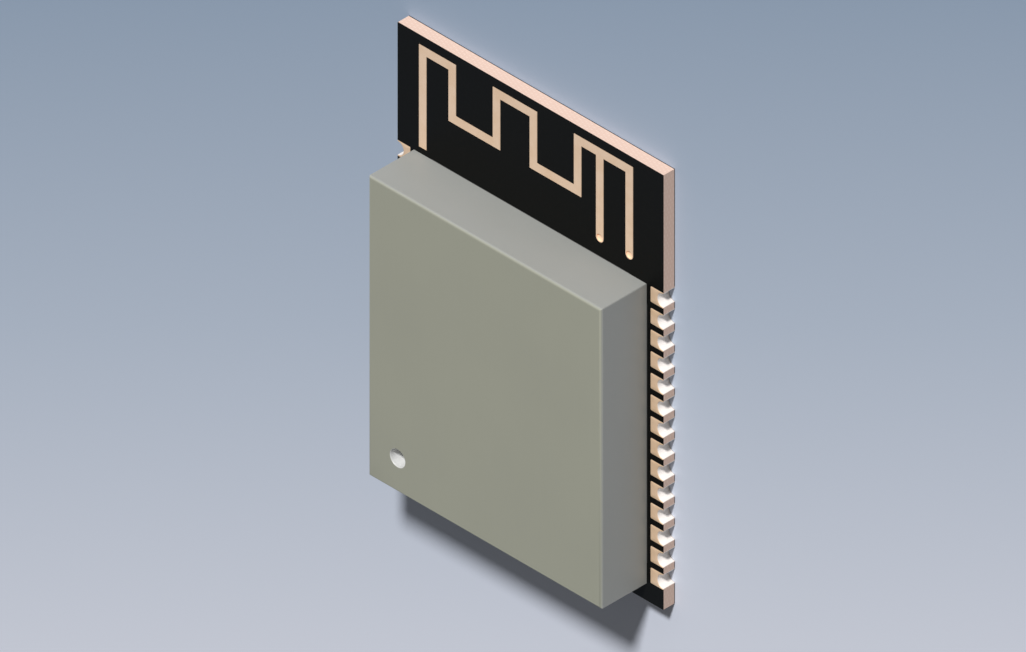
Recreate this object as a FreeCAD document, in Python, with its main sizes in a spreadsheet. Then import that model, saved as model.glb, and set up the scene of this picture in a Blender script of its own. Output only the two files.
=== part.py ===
"""Castellated radio module: a board with a meandered antenna and pads, under a folded shield can.

Millimetres, +Z up. The origin is the centre of the underside, on which the module lies.
The antenna end of the board points to +Y, and the shield can is on top.
"""
import FreeCAD, Part
import math
import os
import re

import Sketcher

Vector = FreeCAD.Vector

SIZES = {
    # board, its copper and the gap between copper and solder mask
    "board_width": 18.0,
    "board_length": 25.5,
    "board_thickness": 0.8,
    "copper_thickness": 0.035,
    "mask_gap": 0.03,
    # castellated pads: half holes along both sides and the end away from the antenna
    "pad_pitch": 1.27,
    "side_pad_count": 14,
    "end_pad_count": 10,
    "side_pad_offset": 1.62,
    "pad_length": 0.85,
    "notch_radius": 0.4,
    "barrel_wall": 0.035,
    "land_rim": 0.015,
    # antenna: columns counted from the left edge, bars counted from the antenna edge
    "trace_width": 0.5,
    "antenna_inset": 1.7,
    "first_fold_width": 2.0,
    "second_fold_width": 3.0,
    "third_fold_width": 2.5,
    "fourth_fold_width": 3.0,
    "feed_leg_spacing": 1.5,
    "ground_leg_spacing": 2.0,
    "antenna_top_margin": 0.8,
    "meander_depth": 3.0,
    "open_end_inset": 6.55,
    "leg_via_inset": 5.8,
    "via_rim": 0.02,
    # shield can, folded from sheet, and the lands that it is soldered to
    "antenna_zone_length": 6.9,
    "shield_pad_gap": 0.25,
    "shield_end_gap": 0.15,
    "shield_height": 3.1,
    "shield_sheet": 0.15,
    "shield_bend_radius": 0.15,
    "shield_seam_gap": 0.05,
    "shield_land_width": 0.5,
    "shield_land_corner_gap": 1.2,
    # drawn dimple in the lid
    "dimple_inset": 2.0,
    "dimple_diameter": 1.0,
    "dimple_depth": 0.8,
    "dimple_mouth_chamfer": 0.04,
    # radio chip, a leadless package with a paddle
    "radio_chip_x": 1.0,
    "radio_chip_inset": 5.0,
    "radio_chip_width": 5.0,
    "radio_chip_height": 0.85,
    "radio_lead_pitch": 0.5,
    "radio_leads_per_side": 8,
    "radio_lead_width": 0.25,
    "radio_lead_length": 0.4,
    "radio_lead_thickness": 0.2,
    "radio_paddle_width": 3.7,
    "radio_land_toe": 0.2,
    # heat path below the radio chip
    "ground_pad_width": 5.0,
    "thermal_via_radius": 0.15,
    "thermal_via_pitch": 2.0,
    "thermal_via_rows": 2,
    # flash memory, a package with gull-wing leads
    "flash_chip_x": 0.0,
    "flash_chip_inset": 3.2,
    "flash_chip_width": 3.9,
    "flash_chip_length": 4.9,
    "flash_chip_height": 1.45,
    "flash_chip_standoff": 0.15,
    "flash_chip_draft": 0.12,
    "flash_lead_pitch": 1.27,
    "flash_leads_per_side": 4,
    "flash_lead_span": 6.0,
    "flash_lead_width": 0.42,
    "flash_lead_thickness": 0.2,
    "flash_shoulder_length": 0.25,
    "flash_foot_length": 0.6,
    "flash_land_margin": 0.1,
    # quartz crystal: a ceramic base with a welded lid
    "crystal_x": -4.2,
    "crystal_inset": 4.6,
    "crystal_width": 2.5,
    "crystal_length": 3.2,
    "crystal_base_height": 0.5,
    "crystal_lid_height": 0.2,
    "crystal_lid_margin": 0.15,
    "crystal_land_width": 0.9,
    "crystal_land_length": 1.1,
    # small two-terminal parts
    "chip_part_length": 1.0,
    "chip_part_width": 0.5,
    "chip_part_terminal": 0.25,
    "chip_part_plating": 0.02,
    "chip_part_land_toe": 0.15,
    "capacitor_height": 0.5,
    "inductor_height": 0.55,
    "resistor_height": 0.35,
    "decoupling_count": 6,
    "decoupling_pitch": 0.9,
    "decoupling_gap": 0.4,
    "load_capacitor_count": 2,
    "load_capacitor_pitch": 1.4,
    "load_capacitor_gap": 0.5,
    "matching_count": 3,
    "matching_pitch": 1.5,
    "matching_feed_offset": 0.4,
    "matching_inset": 1.3,
    "pull_up_count": 4,
    "pull_up_pitch": 0.9,
    "pull_up_gap": 1.4,
    # shallow mark moulded beside the first terminal of a chip
    "first_mark_radius": 0.2,
    "first_mark_inset": 0.7,
    "first_mark_depth": 0.05,
}

# Places that several pieces share, as expressions of the sizes above
HALF_WIDTH = "board_width / 2"
HALF_LENGTH = "board_length / 2"
TOP_LAYER = "board_thickness - copper_thickness"
PAD_HALF = "(notch_radius + barrel_wall + land_rim)"
DRILLED_RADIUS = "(notch_radius + barrel_wall)"
SIDE_ROW_START = "-board_length / 2 + side_pad_offset"
END_ROW_START = "-(end_pad_count - 1) / 2 * pad_pitch"
SHIELD_HALF = "(board_width / 2 - pad_length - shield_pad_gap)"
SHIELD_LOW = "(-board_length / 2 + pad_length + shield_end_gap)"
SHIELD_HIGH = "(board_length / 2 - antenna_zone_length)"
SHIELD_HALF_LENGTH = "((board_length - antenna_zone_length - pad_length - shield_end_gap) / 2)"
SHIELD_Y = "((pad_length + shield_end_gap - antenna_zone_length) / 2)"
RADIO_Y = "(board_length / 2 - antenna_zone_length - radio_chip_inset)"
FLASH_Y = "(-board_length / 2 + pad_length + shield_end_gap + flash_chip_inset)"
CRYSTAL_Y = "(board_length / 2 - antenna_zone_length - crystal_inset)"
COLUMN = ["-board_width / 2 + antenna_inset"]
for spacing in ("first_fold_width", "second_fold_width", "third_fold_width", "fourth_fold_width",
                "feed_leg_spacing", "ground_leg_spacing"):
    COLUMN.append(COLUMN[-1] + " + " + spacing)
FEED_X, GROUND_X = COLUMN[-2:]
TOP_BAR = "board_length / 2 - antenna_top_margin"
LOW_BAR = "board_length / 2 - antenna_top_margin - meander_depth"
OPEN_END = "board_length / 2 - open_end_inset"
LEG_VIA_Y = "board_length / 2 - leg_via_inset"
VIA_RADIUS = "trace_width / 2 - via_rim"
FLASH_ROW_HALF = "(flash_leads_per_side - 1) / 2 * flash_lead_pitch"
FLASH_HEEL = "(flash_lead_span / 2 - flash_foot_length - flash_land_margin)"
FLASH_TOE = "(flash_lead_span / 2 + 2 * flash_land_margin)"
FLASH_LAND_HALF = "(flash_lead_width / 2 + flash_land_margin)"
RADIO_ROW_HALF = "(radio_leads_per_side - 1) / 2 * radio_lead_pitch"

FULL_TURN = 360
# The drilled wall behind a pad's plating is hidden, so flats stand for its round
DRILLED_FLATS = 8
SIDES_OF_A_CHIP = 4
OUTWARD_TURN = {"right": 0, "left": 180, "end": -90}
# A length is taken as the same below this
TINY = 1e-6

doc = FreeCAD.newDocument("radio_module")
sheet = doc.addObject("Spreadsheet::Sheet", "dims")
for line, (alias, number) in enumerate(SIZES.items(), 1):
    sheet.set("A%d" % line, alias)
    sheet.set("B%d" % line, str(number))
    sheet.setAlias("B%d" % line, alias)
doc.recompute()

pieces = []


def dims(text):
    """Returns an expression in which each size name points at its cell."""
    return re.sub(r"[a-z][a-z_]*", lambda name: "dims." + name.group(0), text)


def value(text):
    """Returns what an expression of sizes comes to."""
    return float(sheet.evalExpression(dims(text)))


def new_body(label):
    """Starts a piece, which is written to a file of the same name."""
    body = doc.addObject("PartDesign::Body", label)
    body.Label = label
    body.AllowCompound = True
    pieces.append(body)
    return body


def place_body(body, x, y, z, turn=0):
    """Places a piece by expressions, turned about its own upright axis."""
    body.Placement = FreeCAD.Placement(Vector(), FreeCAD.Rotation(Vector(0, 0, 1), turn))
    body.setExpression("Placement.Base.x", dims(x))
    body.setExpression("Placement.Base.y", dims(y))
    body.setExpression("Placement.Base.z", dims(z))


def origin_item(body, role):
    """Returns a plane or axis of the body's own origin."""
    return [item for item in body.Origin.OriginFeatures if item.Role == role][0]


def new_sketch(body, name, height="0", plane="XY_Plane"):
    """Starts a sketch on one of the body's planes, raised by an expression."""
    sketch = body.newObject("Sketcher::SketchObject", name)
    sketch.AttachmentSupport = (origin_item(body, plane), [""])
    sketch.MapMode = "FlatFace"
    sketch.setExpression("AttachmentOffset.Base.z", dims(height))
    return sketch


def add_tied(sketch, ties):
    """Adds constraints whose sizes are expressions: each is a kind, its places and an expression."""
    made = [Sketcher.Constraint(kind, *places, value(text)) for kind, places, text in ties]
    for index, (kind, places, text) in zip(sketch.addConstraint(made), ties):
        sketch.setExpression("Constraints[%d]" % index, dims(text))


def draw_outlines(sketch, outlines, round_sides=()):
    """Draws closed outlines, anticlockwise. A round side is level and sags down in a half circle."""
    sides = []
    joints = []
    ties = []
    for corners in outlines:
        places = [Vector(value(x), value(y), 0) for x, y in corners]
        first = sketch.GeometryCount + len(sides)
        for number, (x, y) in enumerate(corners):
            start = places[number]
            end = places[(number + 1) % len(places)]
            side = first + number
            following = first + (number + 1) % len(places)
            joints.append(Sketcher.Constraint("Coincident", side, 2, following, 1))
            ties.append(("DistanceX", (-1, 1, side, 1), x))
            ties.append(("DistanceY", (-1, 1, side, 1), y))
            if number in round_sides:
                centre = (start + end) / 2
                circle = Part.Circle(centre, Vector(0, 0, 1), start.distanceToPoint(centre))
                sides.append(Part.ArcOfCircle(circle, math.pi, 2 * math.pi))
                ties.append(("DistanceY", (-1, 1, side, 3), y))
            else:
                sides.append(Part.LineSegment(start, end))
    sketch.addGeometry(sides, False)
    sketch.addConstraint(joints)
    add_tied(sketch, ties)


def box_corners(left, low, right, high):
    """Returns the corners of a rectangle between two opposite ones."""
    return [(left, low), (right, low), (right, high), (left, high)]


def draw_rectangle(sketch, left, low, right, high):
    """Draws a rectangle between two opposite corners."""
    draw_outlines(sketch, [box_corners(left, low, right, high)])


def draw_centred(sketch, x, y, width, length):
    """Draws a rectangle about its centre."""
    draw_rectangle(sketch, "%s - (%s) / 2" % (x, width), "%s - (%s) / 2" % (y, length),
                   "%s + (%s) / 2" % (x, width), "%s + (%s) / 2" % (y, length))


def draw_circle(sketch, x, y, radius):
    """Draws a circle."""
    centre = Vector(value(x), value(y), 0)
    circle = sketch.addGeometry(Part.Circle(centre, Vector(0, 0, 1), value(radius)), False)
    add_tied(sketch, [("DistanceX", (-1, 1, circle, 3), x), ("DistanceY", (-1, 1, circle, 3), y),
                      ("Radius", (circle,), radius)])


def add_pad(body, name, sketch, length, symmetric=False):
    """Raises a sketch by a length, or by half of it each way."""
    pad = body.newObject("PartDesign::Pad", name)
    pad.Profile = sketch
    pad.setExpression("Length", dims(length))
    pad.SideType = "Symmetric" if symmetric else "One side"
    body.Tip = pad
    return pad


def add_pocket(body, name, sketch, depth=None, upwards=False):
    """Cuts a sketch out of the body by a depth, or right through."""
    pocket = body.newObject("PartDesign::Pocket", name)
    pocket.Profile = sketch
    if depth is None:
        pocket.SideType = "Symmetric"
        pocket.Type = "ThroughAll"
    else:
        pocket.setExpression("Length", dims(depth))
        pocket.Reversed = upwards
    body.Tip = pocket
    return pocket


def row_step(body, axis, spacing, count):
    """Makes the step of a pattern that repeats along an axis."""
    step = body.newObject("PartDesign::LinearPattern", axis.lower() + "_row")
    step.Direction = (origin_item(body, axis), [""])
    step.Mode = "Spacing"
    step.setExpression("Offset", dims(spacing))
    step.setExpression("Occurrences", dims(count))
    return step


def mirror_step(body, plane):
    """Makes the step of a pattern that mirrors in a plane."""
    step = body.newObject("PartDesign::Mirrored", plane.lower() + "_mirror")
    step.MirrorPlane = (origin_item(body, plane), [""])
    return step


def turn_step(body, count):
    """Makes the step of a pattern that turns about the upright axis."""
    step = body.newObject("PartDesign::PolarPattern", "turned")
    step.Axis = (origin_item(body, "Z_Axis"), [""])
    step.Angle = FULL_TURN
    step.Occurrences = count
    return step


def repeat(body, name, originals, *steps):
    """Repeats features by one or more pattern steps."""
    pattern = body.newObject("PartDesign::MultiTransform", name)
    pattern.Originals = originals
    pattern.Transformations = list(steps)
    body.Tip = pattern


def edges_at(base, height, curve):
    """Names the edges of one kind of curve that lie at one height of a feature."""
    doc.recompute()
    chosen = []
    for number, edge in enumerate(base.Shape.Edges, 1):
        level = all(abs(corner.Z - value(height)) < TINY for corner in edge.Vertexes)
        if level and isinstance(edge.Curve, curve):
            chosen.append("Edge%d" % number)
    return chosen


def add_fillet(body, name, base, edges, radius):
    """Rounds edges of the body's last feature."""
    fillet = body.newObject("PartDesign::Fillet", name)
    fillet.Base = (base, edges)
    fillet.setExpression("Radius", dims(radius))
    body.Tip = fillet


def add_chamfer(body, name, base, edges, size):
    """Bevels edges of the body's last feature."""
    chamfer = body.newObject("PartDesign::Chamfer", name)
    chamfer.Base = (base, edges)
    chamfer.setExpression("Size", dims(size))
    body.Tip = chamfer


def board_rectangle(sketch):
    """Draws the outline of the board."""
    draw_rectangle(sketch, "-" + HALF_WIDTH, "-" + HALF_LENGTH, HALF_WIDTH, HALF_LENGTH)


def antenna_outline(sketch, half, open_end):
    """Draws the antenna track, whose two legs end in half circles, at half its width."""
    up = " + " + half
    down = " - " + half
    first, second, third, fourth, fifth, feed, ground = COLUMN
    corners = [
        (first + down, open_end), (first + up, open_end), (first + up, TOP_BAR + down),
        (second + down, TOP_BAR + down), (second + down, LOW_BAR + down),
        (third + up, LOW_BAR + down), (third + up, TOP_BAR + down),
        (fourth + down, TOP_BAR + down), (fourth + down, LOW_BAR + down),
        (fifth + up, LOW_BAR + down), (fifth + up, TOP_BAR + down),
        (feed + down, TOP_BAR + down), (feed + down, LEG_VIA_Y), (feed + up, LEG_VIA_Y),
        (feed + up, TOP_BAR + down),
        (ground + down, TOP_BAR + down), (ground + down, LEG_VIA_Y), (ground + up, LEG_VIA_Y),
        (ground + up, TOP_BAR + up), (fifth + down, TOP_BAR + up), (fifth + down, LOW_BAR + up),
        (fourth + up, LOW_BAR + up), (fourth + up, TOP_BAR + up),
        (third + down, TOP_BAR + up), (third + down, LOW_BAR + up),
        (second + up, LOW_BAR + up), (second + up, TOP_BAR + up),
        (first + down, TOP_BAR + up),
    ]
    feed_end = corners.index((feed + down, LEG_VIA_Y))
    ground_end = corners.index((ground + down, LEG_VIA_Y))
    draw_outlines(sketch, [corners], round_sides=(feed_end, ground_end))


def cut_leg_vias(body):
    """Cuts the holes that the two antenna vias fill."""
    holes = new_sketch(body, "leg_via_holes", TOP_LAYER)
    for x in (FEED_X, GROUND_X):
        draw_circle(holes, x, LEG_VIA_Y, VIA_RADIUS)
    add_pocket(body, "leg_vias", holes)


def drilled_corner(x, y, number):
    """Returns a corner of a pad's drilled hole, a regular outline of flats about a centre."""
    angle = (number + 1 / 2) * 2 * math.pi / DRILLED_FLATS
    reach = 1 / math.cos(math.pi / DRILLED_FLATS)
    return ("%s + (%.6f) * %s" % (x, reach * math.cos(angle), DRILLED_RADIUS),
            "%s + (%.6f) * %s" % (y, reach * math.sin(angle), DRILLED_RADIUS))


def drilled_hole(x, y):
    """Returns the whole outline of a pad's drilled hole."""
    return [drilled_corner(x, y, number) for number in range(DRILLED_FLATS)]


def drilled_half():
    """Returns the half of a pad's drilled hole that lies in the board, about the board's edge."""
    quarter = DRILLED_FLATS // 4
    corners = [drilled_corner("0", "0", number) for number in range(quarter, 3 * quarter)]
    return [("0", DRILLED_RADIUS)] + corners + [("0", "-" + DRILLED_RADIUS)]


def cut_side_rows(body, sketch, name):
    """Cuts one sketched shape at every pad of both long sides."""
    cut = add_pocket(body, name + "_cut", sketch)
    along = row_step(body, "Y_Axis", "pad_pitch", "side_pad_count")
    across = mirror_step(body, "YZ_Plane")
    repeat(body, name, [cut], along, across)


def cut_end_row(body, sketch, name):
    """Cuts one sketched shape at every pad of the end."""
    cut = add_pocket(body, name + "_cut", sketch)
    repeat(body, name, [cut], row_step(body, "X_Axis", "pad_pitch", "end_pad_count"))


def cut_pad_windows(body, height):
    """Opens a mask layer round the land of every castellated pad, out to the board's edge."""
    half = "(notch_radius + barrel_wall + land_rim + mask_gap)"
    side = new_sketch(body, "side_window", height)
    draw_rectangle(side, HALF_WIDTH + " - pad_length - mask_gap", SIDE_ROW_START + " - " + half,
                   HALF_WIDTH + " + mask_gap", SIDE_ROW_START + " + " + half)
    cut_side_rows(body, side, "side_windows")
    end = new_sketch(body, "end_window", height)
    draw_rectangle(end, END_ROW_START + " - " + half, "-" + HALF_LENGTH + " - mask_gap",
                   END_ROW_START + " + " + half, "-" + HALF_LENGTH + " + pad_length + mask_gap")
    cut_end_row(body, end, "end_windows")


def make_laminate():
    """The glass-fibre board between its two copper layers."""
    body = new_body("board_laminate")
    outline = new_sketch(body, "outline", "copper_thickness")
    board_rectangle(outline)
    add_pad(body, "slab", outline, "board_thickness - 2 * copper_thickness")
    side = new_sketch(body, "side_half_hole", "copper_thickness")
    draw_outlines(side, [drilled_hole(HALF_WIDTH, SIDE_ROW_START)])
    cut_side_rows(body, side, "side_half_holes")
    end = new_sketch(body, "end_half_hole", "copper_thickness")
    draw_outlines(end, [drilled_hole(END_ROW_START, "-" + HALF_LENGTH)])
    cut_end_row(body, end, "end_half_holes")
    cut_leg_vias(body)
    heat = new_sketch(body, "thermal_hole", "copper_thickness")
    draw_first_thermal_via(heat)
    hole = add_pocket(body, "thermal_hole_cut", heat)
    repeat(body, "thermal_holes", [hole], *thermal_via_steps(body))


def make_mask_top():
    """The solder mask round the antenna, the pads, the shield lands and the component lands."""
    body = new_body("solder_mask_top")
    outline = new_sketch(body, "outline", TOP_LAYER)
    board_rectangle(outline)
    add_pad(body, "layer", outline, "copper_thickness")
    cut_pad_windows(body, TOP_LAYER)
    strips = new_sketch(body, "shield_windows", TOP_LAYER)
    draw_shield_strips(strips, "mask_gap")
    add_pocket(body, "shield_openings", strips)
    antenna = new_sketch(body, "antenna_window", TOP_LAYER)
    antenna_outline(antenna, "(trace_width / 2 + mask_gap)", OPEN_END + " - mask_gap")
    add_pocket(body, "antenna_opening", antenna)
    cut_component_windows(body)


def make_mask_underside():
    """The solder mask of the underside, open at the pads and at the ground pad."""
    body = new_body("solder_mask_underside")
    outline = new_sketch(body, "outline")
    board_rectangle(outline)
    add_pad(body, "layer", outline, "copper_thickness")
    cut_pad_windows(body, "0")
    window = new_sketch(body, "ground_window")
    grown = "ground_pad_width + 2 * mask_gap"
    draw_centred(window, "radio_chip_x", RADIO_Y, grown, grown)
    add_pocket(body, "ground_opening", window)


def make_antenna():
    """The meandered antenna track, flush with the mask."""
    body = new_body("antenna_trace")
    outline = new_sketch(body, "outline", TOP_LAYER)
    antenna_outline(outline, "trace_width / 2", OPEN_END)
    add_pad(body, "track", outline, "copper_thickness")
    cut_leg_vias(body)


def make_leg_via(label, x):
    """A filled via that closes the round end of an antenna leg, covered by mask underneath."""
    body = new_body(label)
    outline = new_sketch(body, "outline", "copper_thickness")
    draw_circle(outline, x, LEG_VIA_Y, VIA_RADIUS)
    add_pad(body, "plug", outline, TOP_LAYER)


def add_land(body, name, height):
    """Adds the land of a castellated pad on one face of the board."""
    outline = new_sketch(body, name + "_outline", height)
    draw_rectangle(outline, "-pad_length", "-" + PAD_HALF, "0", PAD_HALF)
    add_pad(body, name, outline, "copper_thickness")


def make_castellated_pad(number, x, y, side):
    """A plated half hole with a land on each face. Its own +X points out of the board."""
    body = new_body("pad_%02d" % number)
    add_land(body, "underside_land", "0")
    wall = new_sketch(body, "barrel_outline")
    draw_outlines(wall, [drilled_half()])
    add_pad(body, "barrel", wall, "board_thickness")
    add_land(body, "top_land", TOP_LAYER)
    bore = new_sketch(body, "bore_outline")
    draw_circle(bore, "0", "0", "notch_radius")
    add_pocket(body, "bore", bore)
    place_body(body, x, y, "0", OUTWARD_TURN[side])


def make_castellated_pads():
    """Numbers the pads down the left side, along the end and up the right side."""
    number = 0
    side_count = int(SIZES["side_pad_count"])
    for step in range(side_count - 1, -1, -1):
        number += 1
        y = "%s + %d * pad_pitch" % (SIDE_ROW_START, step)
        make_castellated_pad(number, "-" + HALF_WIDTH, y, "left")
    for step in range(int(SIZES["end_pad_count"])):
        number += 1
        x = "%s + %d * pad_pitch" % (END_ROW_START, step)
        make_castellated_pad(number, x, "-" + HALF_LENGTH, "end")
    for step in range(side_count):
        number += 1
        y = "%s + %d * pad_pitch" % (SIDE_ROW_START, step)
        make_castellated_pad(number, HALF_WIDTH, y, "right")


def draw_shield_strips(sketch, grow):
    """Draws the four strips under the shield's walls, which stop short of its corners."""
    side_high = "%s - shield_land_corner_gap + %s" % (SHIELD_HIGH, grow)
    side_low = "%s + shield_land_corner_gap - %s" % (SHIELD_LOW, grow)
    end_half = "(%s - shield_land_corner_gap + %s)" % (SHIELD_HALF, grow)
    outer = "(%s + %s)" % (SHIELD_HALF, grow)
    inner = "(%s - shield_land_width - %s)" % (SHIELD_HALF, grow)
    draw_rectangle(sketch, inner, side_low, outer, side_high)
    draw_rectangle(sketch, "-" + outer, side_low, "-" + inner, side_high)
    draw_rectangle(sketch, "-" + end_half, "%s - shield_land_width - %s" % (SHIELD_HIGH, grow),
                   end_half, "%s + %s" % (SHIELD_HIGH, grow))
    draw_rectangle(sketch, "-" + end_half, "%s - %s" % (SHIELD_LOW, grow),
                   end_half, "%s + shield_land_width + %s" % (SHIELD_LOW, grow))


def make_shield_lands():
    """The copper strips that the shield can is soldered to."""
    body = new_body("shield_lands")
    outline = new_sketch(body, "outline", TOP_LAYER)
    draw_shield_strips(outline, "0")
    add_pad(body, "strips", outline, "copper_thickness")


def make_shield_can():
    """One sheet folded into a can: bent rims, a mitred seam at each corner and a drawn dimple."""
    body = new_body("shield_can")
    outline = new_sketch(body, "outline")
    draw_centred(outline, "0", "0", "2 * " + SHIELD_HALF, "2 * " + SHIELD_HALF_LENGTH)
    block = add_pad(body, "block", outline, "shield_height")
    rims = edges_at(block, "shield_height", Part.Line)
    add_fillet(body, "bends", block, rims, "shield_bend_radius")
    inside = new_sketch(body, "inside")
    draw_centred(inside, "0", "0", "2 * (%s - shield_sheet)" % SHIELD_HALF,
                 "2 * (%s - shield_sheet)" % SHIELD_HALF_LENGTH)
    add_pocket(body, "hollow", inside, "shield_height - shield_sheet", upwards=True)
    cut_corner_seams(body)
    add_dimple(body)
    place_body(body, "0", SHIELD_Y, "board_thickness")


def cut_corner_seams(body):
    """Cuts the thin mitred slit between two walls at each corner, up to the bends."""
    inner_x = SHIELD_HALF + " - shield_sheet - shield_seam_gap"
    outer_x = SHIELD_HALF + " + shield_seam_gap"
    inner_y = SHIELD_HALF_LENGTH + " - shield_sheet - shield_seam_gap"
    outer_y = SHIELD_HALF_LENGTH + " + shield_seam_gap"
    half_gap = "shield_seam_gap / 2"
    outline = new_sketch(body, "seam_outline")
    draw_outlines(outline, [[
        (inner_x, "%s - %s" % (inner_y, half_gap)), (outer_x, "%s - %s" % (outer_y, half_gap)),
        (outer_x, "%s + %s" % (outer_y, half_gap)), (inner_x, "%s + %s" % (inner_y, half_gap)),
    ]])
    seam = add_pocket(body, "seam", outline, "shield_height - shield_bend_radius", upwards=True)
    repeat(body, "seams", [seam], mirror_step(body, "YZ_Plane"), mirror_step(body, "XZ_Plane"))


def add_dimple(body):
    """Draws a closed cup down into the can, in from its left wall and its far wall."""
    x = "-%s + dimple_inset" % SHIELD_HALF
    y = "-%s + dimple_inset" % SHIELD_HALF_LENGTH
    wall = new_sketch(body, "cup_outline", "shield_height - dimple_depth - shield_sheet")
    draw_circle(wall, x, y, "dimple_diameter / 2 + shield_sheet")
    add_pad(body, "cup", wall, "dimple_depth")
    bore = new_sketch(body, "dimple_outline", "shield_height")
    draw_circle(bore, x, y, "dimple_diameter / 2")
    dimple = add_pocket(body, "dimple", bore, "dimple_depth")
    rim = edges_at(dimple, "shield_height", Part.Circle)
    add_chamfer(body, "dimple_mouth", dimple, rim, "dimple_mouth_chamfer")


def draw_first_thermal_via(sketch):
    """Draws the thermal via at the low left corner of the grid below the radio chip."""
    reach = "(thermal_via_rows - 1) / 2 * thermal_via_pitch"
    draw_circle(sketch, "radio_chip_x - " + reach, "%s - %s" % (RADIO_Y, reach), "thermal_via_radius")


def thermal_via_steps(body):
    """Makes the two pattern steps of the thermal via grid."""
    return (row_step(body, "X_Axis", "thermal_via_pitch", "thermal_via_rows"),
            row_step(body, "Y_Axis", "thermal_via_pitch", "thermal_via_rows"))


def make_thermal_vias():
    """The filled vias that carry heat from the radio chip down to the ground pad."""
    body = new_body("thermal_vias")
    outline = new_sketch(body, "outline", "copper_thickness")
    draw_first_thermal_via(outline)
    plug = add_pad(body, "plug", outline, "board_thickness - 2 * copper_thickness")
    repeat(body, "plugs", [plug], *thermal_via_steps(body))


def make_ground_pad():
    """The square ground pad of the underside."""
    body = new_body("ground_pad")
    outline = new_sketch(body, "outline")
    draw_centred(outline, "radio_chip_x", RADIO_Y, "ground_pad_width", "ground_pad_width")
    add_pad(body, "land", outline, "copper_thickness")


def radio_lead_rectangle(sketch, toe):
    """Draws the lowest lead of the radio chip's right side, longer by a toe."""
    start = "-%s" % RADIO_ROW_HALF
    draw_rectangle(sketch, "radio_chip_width / 2 - radio_lead_length",
                   start + " - radio_lead_width / 2", "radio_chip_width / 2 + " + toe,
                   start + " + radio_lead_width / 2")


def repeat_radio_leads(body, name, lead):
    """Repeats a lead along its side and round the chip."""
    along = row_step(body, "Y_Axis", "radio_lead_pitch", "radio_leads_per_side")
    repeat(body, name, [lead], along, turn_step(body, SIDES_OF_A_CHIP))


def cut_first_mark(body, x, y, top):
    """Presses the shallow round mark beside a chip's first terminal."""
    mark = new_sketch(body, "first_mark_outline", top)
    draw_circle(mark, x, y, "first_mark_radius")
    add_pocket(body, "first_mark", mark, "first_mark_depth")


def raise_radio_terminals(label, height, thickness, toe):
    """Raises the radio chip's ring of leads and its paddle, or the lands below them."""
    body = new_body(label)
    outline = new_sketch(body, "lead_outline")
    radio_lead_rectangle(outline, toe)
    repeat_radio_leads(body, "all_leads", add_pad(body, "lead", outline, thickness))
    outline = new_sketch(body, "paddle_outline")
    draw_centred(outline, "0", "0", "radio_paddle_width", "radio_paddle_width")
    add_pad(body, "paddle", outline, thickness)
    place_body(body, "radio_chip_x", RADIO_Y, height)


def make_radio_chip():
    """The radio chip's moulded body, its leads with the paddle, and the lands below them."""
    body = new_body("radio_chip_body")
    outline = new_sketch(body, "outline")
    draw_centred(outline, "0", "0", "radio_chip_width", "radio_chip_width")
    add_pad(body, "block", outline, "radio_chip_height")
    paddle = new_sketch(body, "paddle_seat_outline")
    draw_centred(paddle, "0", "0", "radio_paddle_width", "radio_paddle_width")
    add_pocket(body, "paddle_seat", paddle, "radio_lead_thickness", upwards=True)
    seat = new_sketch(body, "lead_seat_outline")
    radio_lead_rectangle(seat, "0")
    lead_seat = add_pocket(body, "lead_seat", seat, "radio_lead_thickness", upwards=True)
    repeat_radio_leads(body, "lead_seats", lead_seat)
    corner = "(radio_chip_width / 2 - first_mark_inset)"
    cut_first_mark(body, "-" + corner, corner, "radio_chip_height")
    place_body(body, "radio_chip_x", RADIO_Y, "board_thickness")
    raise_radio_terminals("radio_chip_leads", "board_thickness", "radio_lead_thickness", "0")
    raise_radio_terminals("radio_chip_lands", TOP_LAYER, "copper_thickness", "radio_land_toe")


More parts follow.
